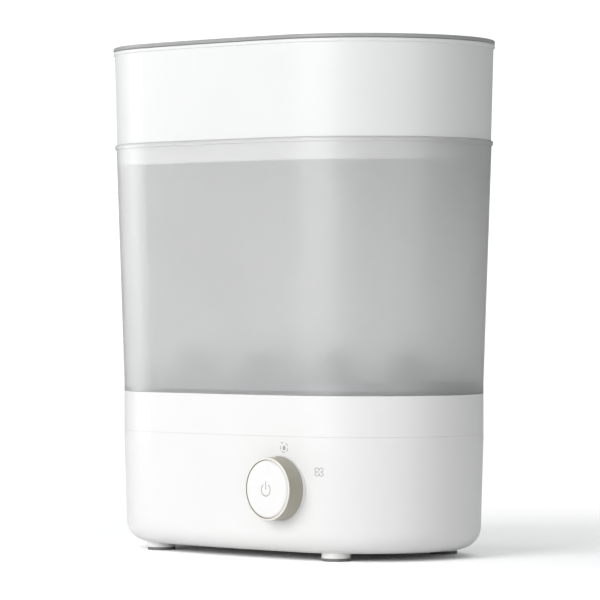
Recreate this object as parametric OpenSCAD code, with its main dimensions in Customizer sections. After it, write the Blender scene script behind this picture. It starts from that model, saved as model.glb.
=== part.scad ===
// Steam bottle sterilizer and dryer: base with water well, heater and blower, frosted bottle
// tub, nesting small-items basket and lid. Millimetres, +Z up, front towards -Y.
// The origin is on the table under the middle of the plan outline.

/* [Overall] */
// length of the base from end to end
base_len = 279; // [240:1:360]
// depth of the base at its middle
base_dep = 164.2; // [140:0.2:220]
// how far the long sides bow out beyond the round ends
side_bow = 2.1; // [1:0.1:6]
// top of the base
base_top = 109.1; // [100:0.1:140]
// height of the tub above the base
tub_h = 168.8; // [140:0.1:230]
// height of the basket above the tub's rim
basket_h = 64.5; // [40:0.1:100]
// space between the base and the table
foot_h = 5.2; // [5:0.1:14]

/* [Walls] */
// wall of the base housings
shell_t = 2.6; // [2:0.1:3.5]
// wall of the frosted tub
tub_t = 2.4; // [1.8:0.1:3]
// wall of the basket
basket_t = 2.3; // [1.8:0.1:3]
// thickness of the lid
lid_t = 2.6; // [2:0.1:5]
// lean of the tub wall, degrees
tub_draft = 1.96; // [0:0.02:3]
// lean of the basket wall, degrees
basket_draft = 1.54; // [0:0.02:3]
// rounding at the bottom of the base
base_round = 15; // [8:0.5:20]
// how far the rims stand out from the walls
rim_out = 0.9; // [0.4:0.1:2]
// height of the rims
rim_h = 2.9; // [2:0.1:5]
// how deep the basket nests into the tub
nest_h = 14.4; // [8:0.1:25]

/* [Knob] */
// middle of the knob, right of the centre line
knob_x = 59.1; // [30:0.1:64]
// height of the knob's axis
knob_z = 47.7; // [42:0.1:52]
// knob radius
knob_r = 20.8; // [17:0.1:25]
// how far the power button stands out from the front
knob_out = 12.1; // [9:0.1:16]

/* [Inside] */
// radius of the water well
well_r = 52; // [44:0.5:56]
// middle of the well, left of the centre line
well_x = 48; // [45:0.5:52]
// depth of the well below the deck
well_h = 14.4; // [10:0.1:18]
// blower impeller radius
fan_r = 25; // [20:0.5:26]
// blower's middle, right of the centre line
fan_x = 38; // [34:0.5:40]
// blower's height
fan_z = 47; // [44:0.5:50]
// bottle posts: spacing along the length
post_dx = 65.5; // [60:0.5:75]
// bottle posts: distance of each row from the centre line
post_y = 36; // [32:0.5:42]
// bottle post height above the rack floor
post_h = 26; // [20:0.5:40]
// bottle post radius at its foot
post_r = 15; // [12:0.5:18]

/* [Clearances] */
// gap where two fixed housings meet
seam = 0.3; // [0.1:0.05:0.6]
// hairline gap where the two housings meet
split_gap = 0.08; // [0.04:0.02:0.4]
// gap round parts that lift out
nest_gap = 0.4; // [0.3:0.05:0.8]
// radial gap of a turning or sliding stem
run_gap = 0.06; // [0.02:0.01:0.1]

/* [Hidden] */
$fn = 96;
e = 0.01;

// plan outline: two round ends and two shallow side arcs, tangent where they meet
end_r = base_dep / 2 - side_bow;
end_x = base_len / 2 - end_r;
bow_k = (end_x * end_x - side_bow * side_bow) / (2 * side_bow);
side_r = bow_k + base_dep / 2;
side_a = atan2(end_x, bow_k);
meet_x = side_r * sin(side_a);

// half depth of the outline, moved out by off, at place x
function edge_y(x, off) = abs(x) < meet_x
    ? sqrt(pow(side_r + off, 2) - x * x) - bow_k
    : sqrt(pow(end_r + off, 2) - pow(abs(x) - end_x, 2));

// levels of the base
seam_z = base_top - 27.1;
deck_z = base_top - 2.1;
deck_t = 2.6;
tongue_h = 6;
base_lean = 0.029;
lean_z = seam_z - 4;
round_z = foot_h + base_round;
round_o = -base_lean * (lean_z - round_z);

// bottom opening, its cover and the ledge above it
cover_o = -36;
ledge_o = -46;
cover_t = 2;
ledge_z = foot_h + cover_t + seam;
ledge_t = 4;
cover_screw_r = end_r - 41;
cover_seat = foot_h + 0.9;

// feet and screw columns
foot_x = end_x + 24.2;
foot_y = base_dep / 2 - 30.1;
foot_r = 9.6;
pad_t = 2;
plug_r = 3.4;
column_x = end_x + end_r * 0.66;
column_y = base_dep * 0.17;
column_r = 4.5;
column_top = seam_z - 6;

// tub, basket and lid
tub_z = base_top + 0.2;
lean_start = base_top + 7.9;
tub_top = base_top + tub_h;
tub_slope = tan(tub_draft);
tub_top_o = tub_slope * (tub_top - lean_start);
ledge_top = base_top + 2.7;
locate_h = 2.2;
locate_o = -(shell_t + seam);
skirt_z = tub_top - nest_h;
basket_slope = tan(basket_draft);
basket_z = tub_top + seam;
basket_o = tub_top_o - 0.45;
rim_top = basket_z + basket_h - 0.6;
basket_top_o = basket_o + basket_slope * (rim_top - basket_z);
lid_z = rim_top + seam;
lid_o = basket_top_o + rim_out;
floor_t = 2.4;

// well, heater and blower
plate_z = deck_z - well_h - 2.6;
plate_t = 1.2;
plate_r = well_r + 6.3;
clamp_z = plate_z - 2.4;
ear_r = well_r + 12;
ring_r = well_r - 16;
tube_r = 4;
spread_t = 2.2;
fan_y = base_dep / 2 - 54.1;
fan_d = 26;
fan_wall = 1.8;
scroll_r = fan_r + 6;
duct_x = fan_x + 7;
duct_w = 24;
duct_z = fan_z + 35;
duct_t = 1.6;
shaft_r = 1.5;
motor_r = 15;
motor_l = 25;
filter_w = 56;
filter_h = 38;
filter_gap = 0.4;

// control panel behind the knob
front_y = -edge_y(knob_x, 0);
button_y = front_y - knob_out;
knob_y = button_y + 0.5;
recess_y = front_y + 4.6;
collar_y = front_y + 1.2;
knob_back = collar_y - 0.4;
cap_gap = 0.15;
spindle_r = 4;
stem_r = 2.4;
switch_y = front_y + 14.2;
board_y = front_y + 24.6;
rim_w = 1.4;
press = 1.5;
neck_r = 7.6;
tact_y = board_y - 3.2;
// screws of the control board, out from the knob's axis
panel_dx = 21;
panel_dz = 18;

// power board
board_x = -46;
board_z = 22;
board_w = 74;
board_d = 54;
board_t = 1.6;
hole_x = board_w / 2 - 4;
hole_y = board_d / 2 - 4;
strip_x = board_x + board_w / 2 + 1;
post_dz = board_z - (foot_h + cover_t);
gland_x = -40;
gland_z = 27;
// where the wires turn towards the strip, and how far apart they lie
dryer_y = -8;
ribbon_y = -10.5;
ribbon_w = 9;
lane = 3;
gland_y = edge_y(abs(gland_x) - 8.5, -base_lean * (lean_z - gland_z - 8.5)) + 0.1;

white = [0.95, 0.95, 0.94];
frost = [0.82, 0.84, 0.84, 0.6];
smoke = [0.55, 0.55, 0.55, 0.8];
taupe = [0.66, 0.64, 0.58];
dark = [0.18, 0.18, 0.18];
steel = [0.75, 0.75, 0.76];
brassy = [0.8, 0.66, 0.35];
green = [0.12, 0.38, 0.22];

// ---- building blocks ----

// carries a section (x = distance out from the outline, y = height) round one end, s = 1 or -1
module sweep_end(s) {
    translate([s * end_x, 0, 0])
        rotate([0, 0, -s * 90 + side_a])
            rotate_extrude(angle = 180 - 2 * side_a)
                translate([end_r, 0]) children();
}

// carries a section along one long side, s = 1 for the back and -1 for the front
module sweep_side(s) {
    translate([0, -s * bow_k, 0])
        rotate([0, 0, s * 90 - side_a])
            rotate_extrude(angle = 2 * side_a)
                translate([side_r, 0]) children();
}

// carries a section all the way round the outline
module sweep() {
    for (s = [1, -1]) {
        sweep_end(s) children();
        sweep_side(s) children();
    }
}

// points of the outline moved out by off, from the front round one end to the back
function half_outline(off) = concat(
    [for (i = [0:11]) let (a = (180 - 2 * side_a) * (i / 12 - 0.5))
        [end_x + (end_r + off) * cos(a), (end_r + off) * sin(a)]],
    [for (i = [0:7]) let (a = side_a * (1 - i / 4))
        [(side_r + off) * sin(a), (side_r + off) * cos(a) - bow_k]]);

// a plate with straight-sided facets along the outline moved out by off
module core(off, z, t) {
    half = half_outline(off);
    translate([0, 0, z]) linear_extrude(t) polygon(concat(half, -half));
}

// a full plate whose edge is the outline moved out by off
module plate(off, z, t) {
    sweep() translate([off - 16, z]) square([16, t]);
    core(off - 8, z, t);
}

// a quarter disc that rounds the corner of a section towards +x and sy
module round_corner(x, y, r, sy) {
    translate([x, y]) intersection() {
        circle(r);
        translate([0, sy > 0 ? 0 : -r]) square(r);
    }
}

// section of a rim with both outer corners eased by edge, from x0 to x1 and from y0 up by h
module rim_section(x0, x1, y0, h, edge) {
    x = x1 - edge;
    polygon([[x0, y0], for (a = [-90:30:0]) [x + edge * cos(a), y0 + edge + edge * sin(a)],
        for (a = [0:30:90]) [x + edge * cos(a), y0 + h - edge + edge * sin(a)], [x0, y0 + h]]);
}

// a box given by its middle in plan and its lowest level
module block(x, y, z, w, d, h) {
    translate([x - w / 2, y - d / 2, z]) cube([w, d, h]);
}

// an upright cylinder from level z
module post(x, y, z, r, h) {
    translate([x, y, z]) cylinder(r = r, h = h);
}

// a cylinder along +Y that starts at y
module rod_y(x, y, z, r, l) {
    translate([x, y, z]) rotate([-90, 0, 0]) cylinder(r = r, h = l);
}

// places children at the four corners of a centred rectangle
module corners(dx, dy) {
    for (sx = [-1, 1], sy = [-1, 1]) translate([sx * dx, sy * dy, 0]) children();
}

// places children at four points on a circle round the well
module round_well(r) {
    for (a = [45:90:315])
        translate([-well_x + r * cos(a), r * sin(a), 0]) children();
}

// one wire through square-cornered points
module wire(points, r) {
    for (i = [0:len(points) - 2]) {
        d = points[i + 1] - points[i];
        l = norm(d);
        translate(points[i])
            rotate([0, acos(d.z / l), atan2(d.y, d.x)]) cylinder(r = r, h = l, $fn = 24);
        if (i > 0) translate(points[i]) sphere(r = r, $fn = 24);
    }
}

// ---- base ----

// section of the lower housing's outside, pulled in by t
module base_section(t, top) {
    polygon([[ledge_o - 1, foot_h + t], [round_o - base_round, foot_h + t],
        [round_o - base_round, round_z], [round_o - t, round_z], [-t, lean_z],
        [-t, top], [ledge_o - 1, top]]);
    round_corner(round_o - base_round, round_z, base_round - t, -1);
}

module base_wall_section() {
    difference() {
        base_section(0, seam_z - split_gap / 2);
        base_section(shell_t, seam_z + 1);
        translate([ledge_o - 2, 0]) square([cover_o - ledge_o + 2, 100]);
    }
    translate([ledge_o, ledge_z]) square([cover_o - ledge_o + 3, ledge_t]);
}

// box in the back wall where the filter cover sits, grown by g
module filter_box(g, y0) {
    translate([fan_x - filter_w / 2 - g, y0, fan_z - filter_h / 2 - g])
        cube([filter_w + 2 * g, 60, filter_h + 2 * g]);
}

// everything that is bored or cut out of the lower housing
module base_cuts() {
    corners(foot_x, foot_y) post(0, 0, 0, plug_r + run_gap, 6);
    corners(column_x, column_y) {
        post(0, 0, 0, 3.2, column_top - 3);
        post(0, 0, 0, 1.8, column_top + 1);
    }
    for (s = [-1, 1], a = [-45, 45])
        post(s * (end_x + cover_screw_r * cos(a)), cover_screw_r * sin(a), ledge_z - 1, 1.25, 4);
    rod_y(knob_x, -120, knob_z, knob_r + 0.35, recess_y + 120);
    rod_y(knob_x, -120, knob_z, neck_r, 60);
    filter_box(filter_gap, fan_y + fan_d + 11.5);
    filter_box(-4, fan_y + fan_d + 2);
    rod_y(gland_x, 60, gland_z, 6.2, 40);
}

// thick square seat behind the front wall that the knob turns in
module knob_seat() {
    w = 2 * knob_r + 5;
    intersection() {
        block(knob_x, front_y + 7.6, knob_z - w / 2, w, 10, w);
        children();
    }
}

module seat_section() {
    translate([-16, knob_z - 1.5 * knob_r]) square([13.8, 3 * knob_r]);
}

// each stretch is cut before they are joined
module base_shell() {
    color(white) {
        for (s = [-1, 1]) {
            difference() {
                union() {
                    sweep_end(s) base_wall_section();
                    knob_seat() sweep_end(s) seat_section();
                }
                base_cuts();
            }
            difference() {
                union() {
                    sweep_side(s) base_wall_section();
                    knob_seat() sweep_side(s) seat_section();
                }
                base_cuts();
            }
        }
        difference() {
            corners(foot_x, foot_y) post(0, 0, pad_t, foot_r, foot_h + shell_t - pad_t);
            base_cuts();
        }
        difference() {
            corners(column_x, column_y)
                post(0, 0, foot_h + 1, column_r, column_top - foot_h - 1);
            base_cuts();
        }
        difference() {
            filter_pocket();
            base_cuts();
        }
        board_posts();
    }
}

// four posts that carry the control board
module board_posts() {
    for (sx = [-1, 1], sz = [-1, 1]) {
        x = knob_x + sx * panel_dx;
        y = -edge_y(x, -2.6);
        difference() {
            rod_y(x, y, knob_z + sz * panel_dz, 3, board_y - 0.1 - y);
            rod_y(x, board_y - 8, knob_z + sz * panel_dz, 1.1, 9);
        }
    }
}

// pocket behind the back wall that holds the filter
module filter_pocket() {
    intersection() {
        filter_box(filter_gap + 2, fan_y + fan_d + 9.5);
        plate(-2.2, fan_z - filter_h, 2 * filter_h);
    }
}

module filter_cover() {
    color(white) difference() {
        intersection() {
            sweep() base_wall_section();
            filter_box(0, 60);
        }
        for (i = [-3:3])
            block(fan_x, base_dep / 2, fan_z + i * 4.6 - 1.1, filter_w - 12, 30, 2.2);
    }
}

module deck_housing() {
    wall_top = base_top - 0.2;
    color(white) difference() {
        union() {
            sweep() {
                translate([-shell_t, seam_z + split_gap / 2])
                    square([shell_t, wall_top - seam_z - split_gap / 2]);
                translate([-shell_t - seam - 2, seam_z - tongue_h])
                    square([2, tongue_h + 4]);
                translate([-shell_t - seam - 2, seam_z + 1])
                    square([seam + 2 + e, 3]);
                translate([-10, deck_z - deck_t]) square([9, deck_t]);
            }
            plate(-6, deck_z - deck_t, deck_t);
            post(-well_x, 0, deck_z - well_h, well_r + 2.4, well_h);
            post(-well_x, 0, deck_z - well_h, well_r + 7, 2.4);
            round_well(ear_r) post(0, 0, deck_z - well_h, 4, well_h - deck_t + 1);
            round_well(ear_r - 4) post(0, 0, deck_z - well_h, 4, 2.4);
            corners(column_x, column_y)
                post(0, 0, column_top + seam, column_r, deck_z - deck_t + 1 - column_top - seam);
            block(duct_x + duct_w / 2, fan_y + fan_d / 2, deck_z - e, duct_w + 8, fan_d + 8, 1);
        }
        post(-well_x, 0, 0, well_r, 200);
        round_well(ear_r) post(0, 0, 0, 1.35, deck_z - 4);
        corners(column_x, column_y) post(0, 0, 0, 1.55, deck_z - 6);
        block(duct_x + duct_w / 2, fan_y + fan_d / 2, 0, duct_w - 2 * duct_t,
            fan_d - 2 * duct_t, 200);
    }
}

module bottom_cover() {
    color(white) difference() {
        union() {
            core(cover_o - seam, foot_h, cover_t);
            translate([board_x, 0, 0]) corners(hole_x, hole_y)
                post(0, 0, foot_h + cover_t - e, 3, post_dz - 0.1);
        }
        for (s = [-1, 1], a = [-45, 45])
            translate([s * (end_x + cover_screw_r * cos(a)), cover_screw_r * sin(a), 0]) {
                post(0, 0, 0, 1.5, 20);
                post(0, 0, 0, 3, cover_seat);
            }
        translate([board_x, 0, 0]) corners(hole_x, hole_y)
            post(0, 0, board_z - 8, 1.1, 9);
        for (i = [-3:3]) block(20 + i * 7, 0, 0, 3, 34, 20);
    }
}

module rubber_feet() {
    color(dark) corners(foot_x, foot_y) {
        rotate_extrude() difference() {
            square([foot_r - 0.1, pad_t - 0.1]);
            translate([foot_r - 0.6, -e]) polygon([[0, 0], [1, 0], [1, 0.5], [0.5, 0.5]]);
        }
        post(0, 0, pad_t - 0.2, plug_r, 3.4);
    }
}

// a pan-head screw with its head's underside at z, pointing up
module screw(z, head_r, head_h, r, l) {
    difference() {
        union() {
            post(0, 0, z - head_h, head_r, head_h);
            post(0, 0, z - e, r, l);
        }
        block(0, 0, z - head_h - e, head_r * 1.2, 0.7, head_h * 0.5);
        block(0, 0, z - head_h - e, 0.7, head_r * 1.2, head_h * 0.5);
    }
}

module cover_screws() {
    color(steel) for (s = [-1, 1], a = [-45, 45])
        translate([s * (end_x + cover_screw_r * cos(a)), cover_screw_r * sin(a), 0])
            screw(cover_seat - 0.05, 2.7, 1, 1.2, 4.3);
}

module housing_screws() {
    color(steel) corners(column_x, column_y) screw(column_top - 3.05, 2.8, 2, 1.5, 15);
}

// ---- water well and heater ----

module heating_plate() {
    color(steel) translate([-well_x, 0, plate_z]) rotate_extrude()
        polygon([[0, 0], [plate_r, 0], [plate_r, plate_t + 0.8], [plate_r - 1, plate_t + 0.8],
            [plate_r - 1, plate_t], [well_r - 6, plate_t], [well_r - 8, plate_t - 0.5],
            [0, plate_t - 0.5]]);
}

module plate_gasket() {
    color([0.85, 0.85, 0.83]) difference() {
        post(-well_x, 0, plate_z + plate_t + 0.05, plate_r - 1.3, 1.3);
        post(-well_x, 0, 0, well_r - 0.5, 200);
    }
}

module heat_spreader() {
    color([0.7, 0.7, 0.7]) post(-well_x, 0, plate_z - 0.05 - spread_t, well_r - 6, spread_t);
}

module heating_element() {
    z = plate_z - spread_t - 0.1 - tube_r;
    color([0.45, 0.45, 0.45]) translate([-well_x, 0, z]) {
        rotate([0, 0, -60]) rotate_extrude(angle = 300) translate([ring_r, 0]) circle(tube_r);
        for (a = [-60, 240]) translate([ring_r * cos(a), ring_r * sin(a), 0]) {
            post(0, 0, -tube_r - 5.5, 1.6, 6.5);
        }
    }
}

module clamp_ring() {
    color(steel) difference() {
        union() {
            post(-well_x, 0, clamp_z, well_r + 8, 2.3);
            round_well(ear_r) post(0, 0, clamp_z, 4, 2.3);
            round_well(ear_r - 4) post(0, 0, clamp_z, 4, 2.3);
        }
        post(-well_x, 0, 0, well_r - 3, 200);
        round_well(ear_r) post(0, 0, 0, 1.7, 200);
    }
}

module clamp_screws() {
    color(steel) round_well(ear_r) screw(clamp_z - 0.05, 2.8, 1.8, 1.3, 10);
}

module thermostat() {
    z = plate_z - spread_t - 0.1;
    color([0.75, 0.72, 0.66]) {
        post(-well_x, 0, z - 8, 8, 8);
        for (s = [-1, 1]) block(-well_x + s * 4, 0, z - 12, 0.8, 5, 4.5);
    }
}

module thermal_fuse() {
    z = plate_z - spread_t - 0.1;
    color(brassy) {
        translate([-well_x - 9, 20, z - 3]) rotate([0, 90, 0]) cylinder(r = 2.4, h = 18);
        for (s = [-1, 1]) block(-well_x + s * 6, 20, z - 3, 2.4, 7, 3);
    }
}

// ---- blower and warm-air path ----

module scroll(r, y, l) {
    rod_y(fan_x, y, fan_z, r, l);
}

module fan_housing() {
    out_x = duct_x + duct_w / 2;
    color(dark) difference() {
        union() {
            scroll(scroll_r, fan_y, fan_d);
            block(out_x, fan_y + fan_d / 2, fan_z, duct_w, fan_d, duct_z - fan_z - 0.1);
            rod_y(fan_x, fan_y + fan_d - e, fan_z, 18, 9);
        }
        scroll(scroll_r - fan_wall, fan_y + fan_wall, fan_d - 2 * fan_wall);
        block(out_x, fan_y + fan_d / 2, fan_z, duct_w - 2 * duct_t, fan_d - 2 * fan_wall, 100);
        rod_y(fan_x, fan_y + fan_d - 4, fan_z, 16, 20);
        rod_y(fan_x, fan_y - 1, fan_z, 3, 10);
    }
}

module fan_motor() {
    color(steel) difference() {
        union() {
            rod_y(fan_x, fan_y - 0.1 - motor_l, fan_z, motor_r, motor_l);
            rod_y(fan_x, fan_y - 0.2, fan_z, 2.8, 2.6);
        }
        rod_y(fan_x, fan_y - 18, fan_z, shaft_r + run_gap, 30);
    }
}

module motor_shaft() {
    color(steel) rod_y(fan_x, fan_y - 17.5, fan_z, shaft_r, 36);
}

module fan_impeller() {
    y0 = fan_y + 3.2;
    depth = 18;
    color([0.3, 0.3, 0.32]) {
        difference() {
            union() {
                rod_y(fan_x, y0, fan_z, fan_r, 1.4);
                rod_y(fan_x, y0, fan_z, 5, 14);
                difference() {
                    rod_y(fan_x, y0 + depth - 1.4, fan_z, fan_r, 1.4);
                    rod_y(fan_x, y0, fan_z, fan_r - 7, depth + 1);
                }
                for (a = [0:18:342])
                    translate([fan_x, y0, fan_z]) rotate([0, a, 0])
                        translate([fan_r - 6.5, 0, -0.5]) cube([6, depth, 1]);
            }
            rod_y(fan_x, y0 - 1, fan_z, shaft_r + run_gap, depth + 3);
        }
    }
}

module air_duct() {
    x = duct_x + duct_w / 2;
    y = fan_y + fan_d / 2;
    top = deck_z - deck_t - 0.1;
    color([0.3, 0.3, 0.32]) difference() {
        block(x, y, duct_z + 0.1, duct_w, fan_d, top - duct_z - 0.1);
        block(x, y, 0, duct_w - 2 * duct_t, fan_d - 2 * duct_t, 200);
        block(x, fan_y, duct_z + 5, 10, 8, 6);
    }
}

module air_heater() {
    x = duct_x + duct_w / 2;
    y = fan_y + fan_d / 2;
    w = duct_w - 2 * duct_t - 0.2;
    d = fan_d - 2 * duct_t - 0.2;
    color([0.72, 0.72, 0.74]) {
        difference() {
            block(x, y, duct_z + 2, w, d, 12);
            for (i = [-3:3]) block(x + i * 2.6, y, duct_z, 1.6, d - 5, 20);
        }
        for (s = [-1, 1]) block(x + s * 2.5, fan_y + 1, duct_z + 6.5, 2.4, 6, 3);
    }
}

module outlet_grille() {
    x = duct_x + duct_w / 2;
    y = fan_y + fan_d / 2;
    color(white) difference() {
        union() {
            block(x, y, deck_z - 2, duct_w - 2 * duct_t - 0.4, fan_d - 2 * duct_t - 0.4, 3.4);
            block(x, y, deck_z + 1.1, duct_w + 4, fan_d + 4, 1);
        }
        for (i = [-3:3]) block(x + i * 2.8, y, 0, 1.6, fan_d - 8, 200);
    }
}

module air_filter() {
    color([0.25, 0.26, 0.28])
        translate([fan_x - filter_w / 2 + 0.3, fan_y + fan_d + 11.6, fan_z - filter_h / 2 + 0.3])
            cube([filter_w - 0.6, 7, filter_h - 0.6]);
}

// ---- electronics ----

module power_board() {
    color(green) difference() {
        block(board_x, 0, board_z, board_w, board_d, board_t);
        translate([board_x, 0, 0]) corners(hole_x, hole_y)
            post(0, 0, 0, 1.5, 50);
    }
}

module board_parts() {
    z = board_z + board_t + 0.02;
    color(dark) {
        block(board_x - 28, -6, z, 15, 19, 15);
        post(board_x - 26, 13, z, 6.5, 18);
        block(board_x + 23, 6, z, 14, 14, 15);
        block(gland_x, board_d / 2 - 4, z, 12, 6, 8);
        block(-well_x, 3.5 - board_d / 2, z, 40, 7, 10);
        block(-well_x, 0, z, 14, 7, 8);
        block(strip_x - 3, -7.5, z, 4, 25, 13);
        block(board_x - 8, 14, z, 20, 6, 6);
    }
}

module board_screws() {
    color(steel) translate([board_x, 0, 2 * board_z + board_t]) rotate([180, 0, 0])
        corners(hole_x, hole_y) screw(board_z - 0.05, 2.5, 1.5, 1.05, 7);
}

// board behind the knob, upright, with its low connector
module control_board() {
    color(green) difference() {
        block(knob_x, board_y + 0.8, knob_z - 22, 50, board_t, 44);
        for (sx = [-1, 1], sz = [-1, 1])
            rod_y(knob_x + sx * panel_dx, board_y - 1, knob_z + sz * panel_dz, 1.3, 9);
    }
    color(white) block(knob_x, board_y + 3.4, knob_z - 21.5, 12, 3.6, 4);
}

module control_screws() {
    color(steel) for (sx = [-1, 1], sz = [-1, 1])
        translate([knob_x + sx * panel_dx, board_y + board_t + 0.05, knob_z + sz * panel_dz])
            rotate([90, 0, 0]) screw(0, 2.3, 1.4, 1.05, 7);
}

module rotary_switch() {
    color(dark) difference() {
        union() {
            block(knob_x, (switch_y + board_y) / 2, knob_z - 10, 20, board_y - switch_y - 0.1, 20);
            rod_y(knob_x, switch_y - 4, knob_z, 6.5, 5);
        }
        rod_y(knob_x, switch_y - 5, knob_z, spindle_r + run_gap, 8);
        rod_y(knob_x, switch_y, knob_z, 3.9, 20);
    }
}

module tact_switch() {
    color([0.2, 0.2, 0.2]) {
        block(knob_x, board_y - 1.25, knob_z - 2.6, 5.2, 2.3, 5.2);
        rod_y(knob_x, tact_y, knob_z, 1.2, 1.2);
    }
}

module cord_gland() {
    y = gland_y;
    color(dark) difference() {
        union() {
            rod_y(gland_x, y - 7, gland_z, 5.9, 8);
            rod_y(gland_x, y, gland_z, 8.5, 2.4);
            rod_y(gland_x, y - 7, gland_z, 8.5, 2.5);
        }
        rod_y(gland_x, y - 4, gland_z, 3.2, 20);
    }
}

module mains_wires() {
    y = gland_y - 7.1;
    color([0.5, 0.35, 0.2]) for (s = [-1, 1])
        wire([[gland_x + s * 2.6, y, gland_z], [gland_x + s * 2.6, 26.1, gland_z]], 1.3);
}

module heater_wires() {
    z_low = board_z + board_t + 10.1;
    z_top = plate_z - spread_t - 2 * tube_r - 5.8;
    y = -ring_r * sin(60);
    color([0.75, 0.2, 0.15]) for (s = [-1, 1])
        wire([[-well_x + s * ring_r / 2, y, z_top], [-well_x + s * ring_r / 2, y, 42],
            [-well_x + s * ring_r / 2, -24, 42], [-well_x + s * ring_r / 2, -24, z_low]], 1.5);
}

module sensor_wires() {
    z_top = plate_z - spread_t - 12.2;
    color([0.85, 0.8, 0.3]) for (s = [-1, 1])
        wire([[-well_x + s * 4, 0, z_top], [-well_x + s * 4, 0, board_z + board_t + 8.1]], 1);
}

module motor_wires() {
    y = fan_y - motor_l - 0.2;
    color([0.15, 0.25, 0.7]) for (i = [0, 1])
        wire([[fan_x - 2 + 4 * i, y, 45], [fan_x - 2 + 4 * i, y - lane * (i + 1), 45],
            [fan_x - 2 + 4 * i, y - lane * (i + 1), 28], [strip_x - 0.9, y - lane * (i + 1), 28]],
            1);
}

module dryer_wires() {
    x = duct_x + duct_w / 2;
    z = duct_z + 8;
    color([0.75, 0.2, 0.15]) for (i = [0, 1])
        wire([[x - 2.5 + 5 * i, fan_y - 2.2, z], [x - 2.5 + 5 * i, dryer_y - lane * i, z],
            [x - 2.5 + 5 * i, dryer_y - lane * i, 33], [strip_x - 0.9, dryer_y - lane * i, 33]],
            1.1);
}

module panel_ribbon() {
    y = board_y + 5.3;
    x0 = strip_x - 0.9;
    color([0.8, 0.8, 0.8]) translate([0, 0, knob_z - 20])
        linear_extrude(1)
            polygon([[knob_x - 5, y], [knob_x + 5, y], [knob_x + 5, ribbon_y], [x0, ribbon_y],
                [x0, ribbon_y - ribbon_w], [knob_x - 5, ribbon_y - ribbon_w]]);
}

// ---- knob and power button ----

// turns a profile (x = radius, y = distance forward of y0) about the knob's axis
module knob_turned(y0) {
    translate([knob_x, y0, knob_z]) rotate([90, 0, 0]) rotate_extrude() children();
}

module knob_ring() {
    len_k = knob_back - knob_y;
    color(taupe) knob_turned(knob_back) difference() {
        union() {
            square([knob_r - 0.6, len_k]);
            square([knob_r, len_k - 0.6]);
            translate([knob_r - 0.6, len_k - 0.6]) circle(0.6, $fn = 48);
        }
        translate([-1, 2.4]) difference() {
            square([knob_r - rim_w + 1, len_k]);
            square([8.5, 4]);
        }
        square([2 * (spindle_r + run_gap), 20], center = true);
    }
}

// fills the recess behind the knob and gives it a flat face to turn against
module knob_collar() {
    color(white) knob_turned(recess_y) difference() {
        square([knob_r + 0.2, recess_y - collar_y]);
        square([2 * neck_r, 20], center = true);
    }
}

module switch_spindle() {
    color(steel) knob_turned(switch_y + 2.8) difference() {
        square([spindle_r, switch_y + 2.8 - knob_back + 6]);
        translate([0, -1]) square([stem_r + run_gap, 60]);
    }
}

module power_button() {
    cap_r = knob_r - rim_w - cap_gap;
    soft = 2.2;
    y0 = button_y + 8;
    pin_l = tact_y - press - 0.3 - y0;
    color(white) knob_turned(y0) {
        difference() {
            union() {
                square([cap_r - soft, 8]);
                square([cap_r, 8 - soft]);
                translate([cap_r - soft, 8 - soft]) circle(soft, $fn = 64);
            }
            translate([0, -1]) square([cap_r - 1.6, 6.8]);
        }
        translate([0, -pin_l]) square([stem_r, pin_l + 7]);
    }
}

// ---- tub, rack, basket and lid ----

module tub() {
    rim_o = tub_top_o - tub_slope * rim_h;
    color(frost) sweep() {
        polygon([[-9, tub_z], [0, tub_z], [0, lean_start], [rim_o, tub_top - rim_h],
            [rim_o - tub_t, tub_top - rim_h], [-tub_t, lean_start], [-tub_t, ledge_top],
            [-9, ledge_top]]);
        rim_section(rim_o - tub_t, tub_top_o + rim_out, tub_top - rim_h, rim_h, 0.7);
        translate([locate_o - 2.2, tub_z - locate_h]) square([2.2, locate_h]);
    }
}

// bottle post: a hollow dome open at the top for the steam
module bottle_post() {
    top_r = post_r - 3;
    shoulder = post_h - top_r;
    rotate_extrude() difference() {
        union() {
            polygon([[0, 0], [post_r, 0], [top_r, shoulder], [0, shoulder]]);
            round_corner(0, shoulder, top_r, 1);
        }
        polygon([[0, -1], [post_r - 2, -1], [top_r - 2, shoulder], [0, shoulder]]);
        round_corner(0, shoulder, top_r - 2, 1);
        translate([0, shoulder]) square([3, post_h]);
    }
}

module bottle_rack() {
    z = ledge_top + seam;
    off = -tub_t - 0.8;
    color([0.93, 0.94, 0.95]) {
        difference() {
            union() {
                plate(off, z, 2);
                sweep() translate([off - 2, z]) square([2, 6]);
            }
            for (ix = [-1:1], sy = [-1, 1])
                post(ix * post_dx, sy * post_y, 0, post_r - 1, 300);
            for (ix = [-9:9]) block(ix * 10, 0, 0, 4, 26, 300);
            for (ix = [-7:7], sy = [-1, 1]) block(ix * 10, sy * 63, 0, 4, 14, 300);
            for (ix = [-1, 1], sy = [-1, 1], j = [-1:1])
                block(ix * post_dx / 2, sy * (post_y - 9 + 9 * (j + 1)), 0, 22, 3, 300);
        }
        for (ix = [-1:1], sy = [-1, 1])
            translate([ix * post_dx, sy * post_y, z]) bottle_post();
    }
}

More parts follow.
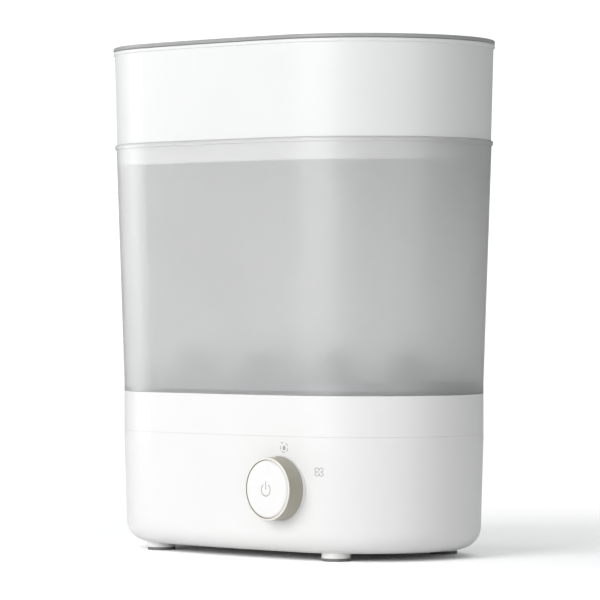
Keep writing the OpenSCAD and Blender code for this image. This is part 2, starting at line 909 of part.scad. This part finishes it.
module upper_basket() {
    skirt_o = tub_top_o - tub_t - nest_gap;
    skirt_low_o = skirt_o - tub_slope * nest_h;
    top_o = basket_top_o;
    color(white) {
        sweep() {
            polygon([[skirt_low_o - basket_t, skirt_z], [skirt_low_o, skirt_z],
                [skirt_o, basket_z], [basket_o, basket_z], [top_o, rim_top],
                [top_o - basket_t, rim_top], [basket_o - basket_t, basket_z + 3.4],
                [skirt_o - basket_t, basket_z + 2.3]]);
            rim_section(top_o - basket_t, top_o + rim_out, rim_top - 2.4, 2.4, 0.6);
        }
        difference() {
            plate(skirt_low_o - basket_t + 1, skirt_z, floor_t);
            for (ix = [-11:11], iy = [-2:2])
                if (abs(ix) < 9 || abs(iy) < 2)
                    block(ix * 10, iy * 28, 0, 4, 22, 400);
        }
    }
}

module lid() {
    edge = 0.9;
    grip_r = 26;
    color(smoke) {
        difference() {
            union() {
                sweep() {
                    rim_section(lid_o - 10, lid_o, lid_z, lid_t, edge);
                    translate([basket_top_o - basket_t - 0.5 - 2.2, lid_z - 5])
                        square([2.2, 5]);
                }
                plate(lid_o - 6, lid_z, lid_t);
                post(0, 0, lid_z - 9, grip_r + 2, 10);
            }
            post(0, 0, lid_z - 7, grip_r, 40);
            for (s = [-1, 1], i = [0:4]) block(s * (66 + i * 9), 0, 0, 3.5, 44, 500);
        }
        block(0, 0, lid_z - 2, 2 * grip_r + 2, 11, lid_t + 2);
    }
}

base_shell();
deck_housing();
bottom_cover();
rubber_feet();
cover_screws();
housing_screws();
heating_plate();
plate_gasket();
heat_spreader();
heating_element();
clamp_ring();
clamp_screws();
thermostat();
thermal_fuse();
fan_housing();
fan_motor();
air_duct();
air_heater();
outlet_grille();
air_filter();
power_board();
board_parts();
board_screws();
control_board();
control_screws();
rotary_switch();
tact_switch();
knob_collar();
cord_gland();
mains_wires();
heater_wires();
sensor_wires();
motor_wires();
dryer_wires();
panel_ribbon();
filter_cover();
motor_shaft();
fan_impeller();
knob_ring();
switch_spindle();
power_button();
tub();
bottle_rack();
upper_basket();
lid();
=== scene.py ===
"""Looks of a steam bottle sterilizer and dryer: moulded white housings, a frosted tub with the
bottle posts showing through it, a thin smoke-grey lid and a taupe knob with a white power button.
Everything is in metres in the part's own frame: +Z up, the front towards -Y."""

from math import asin, cos, pi, radians, sin

import bpy
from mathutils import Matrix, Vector
from mathutils.bvhtree import BVHTree


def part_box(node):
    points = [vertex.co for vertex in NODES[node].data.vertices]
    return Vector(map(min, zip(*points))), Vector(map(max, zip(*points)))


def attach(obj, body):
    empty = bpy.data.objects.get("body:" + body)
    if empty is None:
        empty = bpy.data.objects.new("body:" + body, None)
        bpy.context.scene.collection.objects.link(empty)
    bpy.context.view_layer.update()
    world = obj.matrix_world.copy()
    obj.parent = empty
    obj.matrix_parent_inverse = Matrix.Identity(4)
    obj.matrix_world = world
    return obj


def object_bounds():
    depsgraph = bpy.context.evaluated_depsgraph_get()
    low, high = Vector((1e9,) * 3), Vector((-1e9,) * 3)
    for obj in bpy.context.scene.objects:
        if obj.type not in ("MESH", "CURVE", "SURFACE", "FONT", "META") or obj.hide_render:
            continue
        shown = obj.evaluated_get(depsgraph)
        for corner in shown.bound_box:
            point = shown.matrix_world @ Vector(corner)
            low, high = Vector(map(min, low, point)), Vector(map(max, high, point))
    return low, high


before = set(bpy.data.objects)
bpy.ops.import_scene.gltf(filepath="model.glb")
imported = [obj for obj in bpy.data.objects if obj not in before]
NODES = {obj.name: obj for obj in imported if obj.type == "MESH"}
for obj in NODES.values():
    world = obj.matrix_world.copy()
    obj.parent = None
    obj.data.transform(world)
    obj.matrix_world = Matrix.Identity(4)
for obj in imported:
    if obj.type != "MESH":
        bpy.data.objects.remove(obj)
CAD_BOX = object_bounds()
MM = 0.001

# how far printed marks stand off the surface, and the ink lines' widths as shares of a mark
INK_LIFT = 0.04 * MM
LINE = 0.075
BOLD_LINE = 0.085

# the camera: degrees round from the front, and lengths as shares of the object's height
CAMERA_AZIMUTH = 44.69
CAMERA_DISTANCE = 7.68
CAMERA_HEIGHT = 0.505
CAMERA_DIP = 0.06

# the floor's fade into the backdrop, as distances from the object's middle
FADE_FROM, FADE_TO = 0.3, 0.7


# ---- shader building blocks ----

class Shader:
    """A material's node tree with one Principled shader in it."""

    def __init__(self, name, colour, roughness, **inputs):
        self.material = bpy.data.materials.new(name)
        self.material.use_nodes = True
        self.tree = self.material.node_tree
        self.tree.nodes.clear()
        self.output = self.add("ShaderNodeOutputMaterial")
        self.surface = self.add("ShaderNodeBsdfPrincipled")
        self.link(self.surface, "BSDF", self.output, "Surface")
        self.place = self.add("ShaderNodeTexCoord")
        self.surface.inputs["Base Color"].default_value = (*colour, 1.0)
        self.surface.inputs["Roughness"].default_value = roughness
        for key, value in inputs.items():
            self.surface.inputs[key.replace("_", " ")].default_value = value
        self.colour = colour
        self.roughness = roughness

    def add(self, kind, **settings):
        node = self.tree.nodes.new(kind)
        for key, value in settings.items():
            setattr(node, key, value)
        return node

    def link(self, a, out, b, into):
        self.tree.links.new(a.outputs[out], b.inputs[into])

    def lamps_pass(self, tint):
        """Lets rays from lamps through as a thin clouded wall does, tinted."""
        rays = self.add("ShaderNodeLightPath")
        clear = self.add("ShaderNodeBsdfTransparent")
        clear.inputs["Color"].default_value = (*tint, 1.0)
        mix = self.add("ShaderNodeMixShader")
        self.link(rays, "Is Shadow Ray", mix, "Fac")
        self.tree.links.new(self.surface.outputs["BSDF"], mix.inputs[1])
        self.tree.links.new(clear.outputs["BSDF"], mix.inputs[2])
        self.link(mix, "Shader", self.output, "Surface")
        return self

    def noise(self, scale, detail=2.0, stretch=(1, 1, 1)):
        """Object-space noise with about scale features a metre."""
        mapping = self.add("ShaderNodeMapping")
        mapping.inputs["Scale"].default_value = stretch
        noise = self.add("ShaderNodeTexNoise")
        noise.inputs["Scale"].default_value = scale
        noise.inputs["Detail"].default_value = detail
        self.link(self.place, "Object", mapping, "Vector")
        self.link(mapping, "Vector", noise, "Vector")
        return noise

    def mottle(self, scale, amount, **kw):
        """Lightens and darkens the base colour a little, by amount."""
        noise = self.noise(scale, **kw)
        ramp = self.add("ShaderNodeValToRGB")
        for stop, place, factor in zip(ramp.color_ramp.elements, (0.3, 0.7), (-1, 1)):
            stop.position = place
            stop.color = (*[min(1, c * (1 + factor * amount)) for c in self.colour], 1)
        self.link(noise, "Fac", ramp, "Fac")
        self.link(ramp, "Color", self.surface, "Base Color")
        return self

    def smears(self, scale, amount, **kw):
        """Varies the roughness by amount either way."""
        noise = self.noise(scale, **kw)
        spread = self.add("ShaderNodeMapRange")
        spread.inputs["To Min"].default_value = self.roughness - amount
        spread.inputs["To Max"].default_value = self.roughness + amount
        self.link(noise, "Fac", spread, "Value")
        self.link(spread, "Result", self.surface, "Roughness")
        return self

    def paint_front_highlight(self, colour):
        """Paints a highlight: blends the base colour into a paler one where the surface faces forward,
        towards the front key light.
        """
        split = self.add("ShaderNodeSeparateXYZ")
        facing = self.add("ShaderNodeMapRange")
        mix = self.add("ShaderNodeMixRGB")
        facing.inputs["From Min"].default_value = -0.3
        facing.inputs["From Max"].default_value = -0.7
        self.link(self.place, "Normal", split, "Vector")
        self.link(split, "Y", facing, "Value")
        self.link(facing, "Result", mix, "Fac")
        before = self.surface.inputs["Base Color"].links[0].from_socket
        self.tree.links.new(before, mix.inputs["Color1"])
        # the paler colour of the painted highlight
        mix.inputs["Color2"].default_value = (*colour, 1)
        self.link(mix, "Color", self.surface, "Base Color")
        return self

    def grain(self, scale, height, **kw):
        """Fine surface relief, height in metres."""
        noise = self.noise(scale, **kw)
        bump = self.add("ShaderNodeBump")
        bump.inputs["Strength"].default_value = 1.0
        bump.inputs["Distance"].default_value = height
        self.link(noise, "Fac", bump, "Height")
        self.link(bump, "Normal", self.surface, "Normal")
        return self


# ---- materials ----

def white_plastic():
    """Glossy white moulded housing."""
    s = Shader("white_plastic", (0.86, 0.86, 0.855), 0.32, IOR=1.46)
    return s.mottle(9, 0.012).smears(30, 0.04).grain(1400, 0.000004).material


def basket_plastic():
    """Softer white of the thin basket."""
    s = Shader("basket_plastic", (0.80, 0.80, 0.80), 0.38, IOR=1.46)
    return s.mottle(9, 0.012).smears(30, 0.04).grain(1400, 0.000004).material


def cap_plastic():
    """The power button's brighter, softer white."""
    s = Shader("cap_plastic", (0.88, 0.88, 0.875), 0.38, IOR=1.46)
    return s.mottle(60, 0.01).smears(150, 0.04).grain(2500, 0.000003).material


def frosted_plastic():
    """Grey translucent tub wall, etched so that only blurred shapes show through."""
    s = Shader("frosted_plastic", (0.89, 0.89, 0.89), 0.31, IOR=1.46, Transmission_Weight=0.74)
    s.lamps_pass((0.62, 0.622, 0.62))
    return s.mottle(14, 0.015).smears(40, 0.03).grain(2200, 0.000003).material


def rack_plastic():
    """Rack and posts coloured near black as painted shade, for the shade that falls inside the tub."""
    s = Shader("rack_plastic", (0.05, 0.056, 0.074), 0.5, IOR=1.46)
    return s.mottle(20, 0.03).smears(60, 0.05).grain(1600, 0.000006).material


def smoke_plastic():
    """Smoke-grey translucent lid."""
    s = Shader("smoke_plastic", (0.44, 0.445, 0.44), 0.36, IOR=1.5, Transmission_Weight=0.2)
    s.lamps_pass((0.6, 0.6, 0.6))
    return s.mottle(14, 0.02).smears(40, 0.03).grain(2200, 0.000002).material


def taupe_plastic():
    """Satin taupe paint on the knob's side, with a painted highlight that makes the rim paler where it
    faces forward.
    """
    s = Shader("taupe_plastic", (0.42, 0.40, 0.335), 0.36)
    s.mottle(250, 0.03).smears(300, 0.05).grain(5000, 0.000004)
    # painted highlight on the forward-facing rim
    return s.paint_front_highlight((0.86, 0.83, 0.76)).material


def rubber():
    """Matt grey pads under the feet."""
    s = Shader("grey_rubber", (0.19, 0.19, 0.185), 0.75)
    return s.mottle(200, 0.15).smears(120, 0.08).grain(3000, 0.00002).material


def silicone():
    """Cloudy gasket under the deck."""
    s = Shader("silicone", (0.72, 0.72, 0.69), 0.5, Transmission_Weight=0.2)
    return s.mottle(60, 0.03).smears(60, 0.05).grain(1500, 0.00001).material


def black_plastic():
    """Textured black of the blower and electrical mouldings."""
    s = Shader("black_plastic", (0.025, 0.025, 0.028), 0.45)
    return s.mottle(80, 0.12).smears(90, 0.08).grain(1800, 0.00002).material


def brushed_steel():
    """Stainless plate and sheath, brushed along X."""
    s = Shader("stainless", (0.62, 0.62, 0.61), 0.3, Metallic=1.0)
    lines = dict(stretch=(0.03, 1, 1))
    return s.mottle(60, 0.05).smears(900, 0.1, **lines).grain(2600, 0.000006, **lines).material


def zinc():
    """Zinc-plated screws and pressings."""
    s = Shader("zinc_steel", (0.55, 0.55, 0.54), 0.38, Metallic=1.0)
    return s.mottle(400, 0.08).smears(300, 0.1).grain(2500, 0.00001).material


def cast_aluminium():
    """Sand-cast heat spreader and heater fins."""
    s = Shader("aluminium", (0.66, 0.66, 0.67), 0.5, Metallic=1.0)
    return s.mottle(200, 0.06).smears(200, 0.1).grain(1500, 0.00003).material


def brass():
    """Plain brass of the thermal fuse."""
    s = Shader("brass", (0.72, 0.53, 0.24), 0.3, Metallic=1.0)
    return s.mottle(300, 0.06).smears(300, 0.08).grain(2500, 0.000008).material


def solder_mask():
    """Green lacquer of the circuit boards."""
    s = Shader("board_green", (0.02, 0.14, 0.06), 0.28)
    return s.mottle(300, 0.25).smears(200, 0.06).grain(900, 0.00003).material


def open_cell_foam():
    """Dark foam of the air filter."""
    s = Shader("foam", (0.03, 0.032, 0.035), 0.95)
    return s.mottle(900, 0.5, detail=4).smears(300, 0.04).grain(900, 0.0006, detail=4).material


def sleeve(name, colour):
    """Extruded cable sleeve."""
    s = Shader(name, colour, 0.4)
    return s.mottle(120, 0.05).smears(150, 0.06).grain(900, 0.00002).material


def ink():
    """Warm grey printed marks."""
    s = Shader("mark_ink", (0.42, 0.42, 0.415), 0.5)
    return s.mottle(600, 0.06).smears(500, 0.05).grain(4000, 0.000002).material


WHITE = white_plastic()
BLACK = black_plastic()
ZINC = zinc()
STAINLESS = brushed_steel()
ALUMINIUM = cast_aluminium()
GREEN = solder_mask()
RED = sleeve("wire_red", (0.42, 0.03, 0.02))
INK = ink()

NODE_MATERIALS = {
    "base_shell": WHITE, "deck_housing": WHITE, "bottom_cover": WHITE, "filter_cover": WHITE,
    "outlet_grille": WHITE, "upper_basket": basket_plastic(), "knob_collar": WHITE,
    "power_button": cap_plastic(),
    # the rack's near-black colour is painted shade inside the tub
    "tub": frosted_plastic(), "bottle_rack": rack_plastic(), "lid": smoke_plastic(),
    "knob_ring": taupe_plastic(), "rubber_feet": rubber(), "plate_gasket": silicone(),
    "heating_plate": STAINLESS, "heating_element": STAINLESS, "heat_spreader": ALUMINIUM,
    "air_heater": ALUMINIUM, "clamp_ring": ZINC, "clamp_screws": ZINC, "cover_screws": ZINC,
    "housing_screws": ZINC, "board_screws": ZINC, "control_screws": ZINC, "thermostat": ZINC,
    "fan_motor": ZINC, "motor_shaft": ZINC, "switch_spindle": ZINC, "thermal_fuse": brass(),
    "fan_housing": BLACK, "fan_impeller": BLACK, "air_duct": BLACK, "board_parts": BLACK,
    "rotary_switch": BLACK, "tact_switch": BLACK, "cord_gland": BLACK,
    "air_filter": open_cell_foam(), "power_board": GREEN, "control_board": GREEN,
    "mains_wires": sleeve("wire_brown", (0.16, 0.07, 0.03)), "heater_wires": RED,
    "dryer_wires": RED, "sensor_wires": sleeve("wire_yellow", (0.62, 0.5, 0.06)),
    "motor_wires": sleeve("wire_blue", (0.02, 0.06, 0.34)),
    "panel_ribbon": sleeve("ribbon", (0.55, 0.55, 0.54)),
}


def finish_nodes():
    """Gives every CAD node its material."""
    for name, material in NODE_MATERIALS.items():
        mesh = NODES[name].data
        mesh.materials.clear()
        mesh.materials.append(material)


# ---- printed marks ----

def strip(points, width, closed=False):
    """Quads (as lists of points) for a line of that width along points in the mark's plane."""
    count = len(points)
    edges = []
    for i, p in enumerate(points):
        before = points[i - 1] if closed or i else p
        after = points[(i + 1) % count] if closed or i < count - 1 else p
        along = (Vector(after) - Vector(before)).normalized()
        across = Vector((-along.y, along.x)) * width / 2
        edges.append((Vector(p) + across, Vector(p) - across))
    last = count if closed else count - 1
    return [[edges[i][0], edges[(i + 1) % count][0], edges[(i + 1) % count][1], edges[i][1]]
            for i in range(last)]


def arc(centre, radius, start, end, count=24):
    """Points along a circular arc; angles in degrees, anticlockwise from the right."""
    step = (end - start) / (count - 1)
    angles = [radians(start + i * step) for i in range(count)]
    return [(centre[0] + radius * cos(a), centre[1] + radius * sin(a)) for a in angles]


def dot(centre, radius):
    """A small filled disc."""
    return [[Vector(p) for p in arc(centre, radius, 0, 337.5, 16)]]


def drop(height, width):
    """A filled drop: a round foot that tapers to a point at the top."""
    r = width / 2
    lean = asin(r / (height - r))
    foot = arc((0, r - height / 2), r, 180 - lean * 180 / pi, 360 + lean * 180 / pi, 20)
    return [[Vector(p) for p in foot] + [Vector((0, height / 2))]]


def auto_mark(size):
    """A broken ring with a dot at its gap, and a steam drop in the middle."""
    r = size / 2
    width = size * LINE
    faces = []
    for start in (160, 232, 304, 376):
        faces += strip(arc((0, 0), r, start, start + 50), width)
    faces += dot((-r * 0.55, r * 0.95), size * 0.1)
    return faces + drop(size * 0.55, size * 0.4)


def fan_mark(size):
    """Four outlined blades round a small hub."""
    faces = dot((0, 0), size * 0.06)
    r = size * 0.19
    for k in range(4):
        turn = k * 90 + 45
        centre = (size * 0.33 * cos(radians(turn)), size * 0.33 * sin(radians(turn)))
        lobe = arc(centre, r, turn - 150, turn + 150, 22)
        faces += strip(lobe, size * LINE)
    return faces


def power_mark(size):
    """A ring open at the top with a bar through the opening."""
    r = size * 0.46
    width = size * BOLD_LINE
    top = size * 0.62
    faces = strip(arc((0, 0), r, 125, 415, 40), width)
    return faces + strip([(0, top), (0, top * 0.5), (0, 0)], width)


def surface_under(node):
    """Returns a function that gives the front surface's y at (x, z)."""
    mesh = NODES[node].data
    tree = BVHTree.FromPolygons([v.co for v in mesh.vertices], [p.vertices for p in mesh.polygons])

    def front(x, z):
        hit = tree.ray_cast(Vector((x, -1.0, z)), Vector((0, 1, 0)))
        return hit[0].y
    return front


def print_mark(name, faces, x, z, node, body):
    """Lays a mark on a node's front surface with its middle at (x, z)."""
    front = surface_under(node)
    verts = []
    polygons = []
    for face in faces:
        start = len(verts)
        for p in face:
            px, pz = x + p[0], z + p[1]
            verts.append((px, front(px, pz) - INK_LIFT, pz))
        polygons.append(range(start, len(verts)))
    mesh = bpy.data.meshes.new(name)
    mesh.from_pydata(verts, [], polygons)
    mesh.materials.append(INK)
    mark = bpy.data.objects.new(name, mesh)
    bpy.context.scene.collection.objects.link(mark)
    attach(mark, body)
    return mark


def print_marks():
    """The power mark rides on the button, and the two mode marks lie round the knob."""
    low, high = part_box("knob_ring")
    knob_x, knob_z = (low[0] + high[0]) / 2, (low[2] + high[2]) / 2
    print_mark("power_mark", power_mark(8.8 * MM), knob_x - 0.4 * MM, knob_z - 0.4 * MM, "power_button",
               "button")
    print_mark("auto_mark", auto_mark(6.4 * MM), knob_x + 4.1 * MM, knob_z + 27.1 * MM,
               "base_shell", "base")
    print_mark("fan_mark", fan_mark(6.3 * MM), knob_x + 30.1 * MM, knob_z + 11.6 * MM,
               "base_shell", "base")


# ---- stage, light and camera ----

def floor_material():
    """White paper that fades into the backdrop a little way from the object."""
    material = bpy.data.materials.new("floor_paper")
    material.use_nodes = True
    tree = material.node_tree
    nodes, links = tree.nodes, tree.links
    nodes.clear()
    out = nodes.new("ShaderNodeOutputMaterial")
    rays = nodes.new("ShaderNodeLightPath")
    place = nodes.new("ShaderNodeTexCoord")
    reach = nodes.new("ShaderNodeVectorMath")
    fade = nodes.new("ShaderNodeMapRange")
    paper = nodes.new("ShaderNodeBsdfDiffuse")
    lit = nodes.new("ShaderNodeBsdfDiffuse")
    backdrop = nodes.new("ShaderNodeEmission")
    seen = nodes.new("ShaderNodeMixShader")
    mix = nodes.new("ShaderNodeMixShader")
    reach.operation = "LENGTH"
    fade.inputs["From Min"].default_value = FADE_FROM
    fade.inputs["From Max"].default_value = FADE_TO
    paper.inputs["Color"].default_value = (1.5, 1.5, 1.5, 1)
    lit.inputs["Color"].default_value = (0.95, 0.95, 0.95, 1)
    backdrop.inputs["Strength"].default_value = 1.05
    links.new(place.outputs["Object"], reach.inputs[0])
    links.new(reach.outputs["Value"], fade.inputs["Value"])
    links.new(fade.outputs["Result"], seen.inputs["Fac"])
    links.new(paper.outputs["BSDF"], seen.inputs[1])
    links.new(backdrop.outputs["Emission"], seen.inputs[2])
    links.new(rays.outputs["Is Camera Ray"], mix.inputs["Fac"])
    links.new(lit.outputs["BSDF"], mix.inputs[1])
    links.new(seen.outputs["Shader"], mix.inputs[2])
    links.new(mix.outputs["Shader"], out.inputs["Surface"])
    return material


def make_floor():
    """A wide plane at z = 0, kept out of the part."""
    bpy.ops.mesh.primitive_plane_add(size=16, location=(0, 0, 0))
    floor = bpy.context.object
    floor.name = "floor"
    floor.data.materials.append(floor_material())


def make_world():
    """Even studio light, with a white backdrop where the camera sees past the floor."""
    world = bpy.data.worlds.new("studio")
    bpy.context.scene.world = world
    world.use_nodes = True
    nodes, links = world.node_tree.nodes, world.node_tree.links
    nodes.clear()
    out = nodes.new("ShaderNodeOutputWorld")
    rays = nodes.new("ShaderNodeLightPath")
    light = nodes.new("ShaderNodeBackground")
    backdrop = nodes.new("ShaderNodeBackground")
    mix = nodes.new("ShaderNodeMixShader")
    light.inputs["Color"].default_value = (0.97, 1.0, 0.99, 1)
    light.inputs["Strength"].default_value = 0.26
    backdrop.inputs["Color"].default_value = (1, 1, 1, 1)
    backdrop.inputs["Strength"].default_value = 1.1
    links.new(rays.outputs["Is Camera Ray"], mix.inputs["Fac"])
    links.new(light.outputs["Background"], mix.inputs[1])
    links.new(backdrop.outputs["Background"], mix.inputs[2])
    links.new(mix.outputs["Shader"], out.inputs["Surface"])


def area_light(name, place, target, size, power):
    """A rectangular softbox at place that faces target, power in watts."""
    data = bpy.data.lights.new(name, "AREA")
    data.shape = "RECTANGLE"
    data.size, data.size_y = size
    data.energy = power
    lamp = bpy.data.objects.new(name, data)
    lamp.location = place
    lamp.rotation_euler = (Vector(target) - Vector(place)).to_track_quat("-Z", "Y").to_euler()
    bpy.context.scene.collection.objects.link(lamp)


def make_lights():
    """Front key, dimmer fills from both sides, and a wide softbox overhead."""
    middle = (0, 0, 0.17)
    area_light("key_softbox", (0.15, -2.4, 0.9), middle, (1.6, 1.6), 38)
    area_light("right_fill", (2.4, -0.5, 0.7), middle, (1.4, 1.6), 8)
    area_light("left_strip", (-2.25, -0.95, 0.6), middle, (0.8, 1.6), 14)
    area_light("top_softbox", (0, 0.2, 2.6), middle, (3.0, 3.0), 18)


def make_camera():
    """Long lens, level, a little below half the object's height, 44.7 degrees round from the front."""
    height = CAD_BOX[1][2] - CAD_BOX[0][2]
    azimuth, distance = radians(CAMERA_AZIMUTH), CAMERA_DISTANCE * height
    data = bpy.data.cameras.new("camera")
    data.lens = 233.1
    data.sensor_width = 36
    data.clip_end = 60
    data.shift_x = -0.002
    camera = bpy.data.objects.new("camera", data)
    camera.location = (distance * sin(azimuth), -distance * cos(azimuth), CAMERA_HEIGHT * height)
    camera.rotation_euler = (radians(90 - CAMERA_DIP), 0, azimuth)
    bpy.context.scene.collection.objects.link(camera)
    bpy.context.scene.camera = camera


def set_colour_view():
    """Plain display colour, so that white paper comes out white."""
    view = bpy.context.scene.view_settings
    view.view_transform = "Standard"
    view.look = "None"


finish_nodes()
print_marks()
make_floor()
make_world()
make_lights()
make_camera()
set_colour_view()
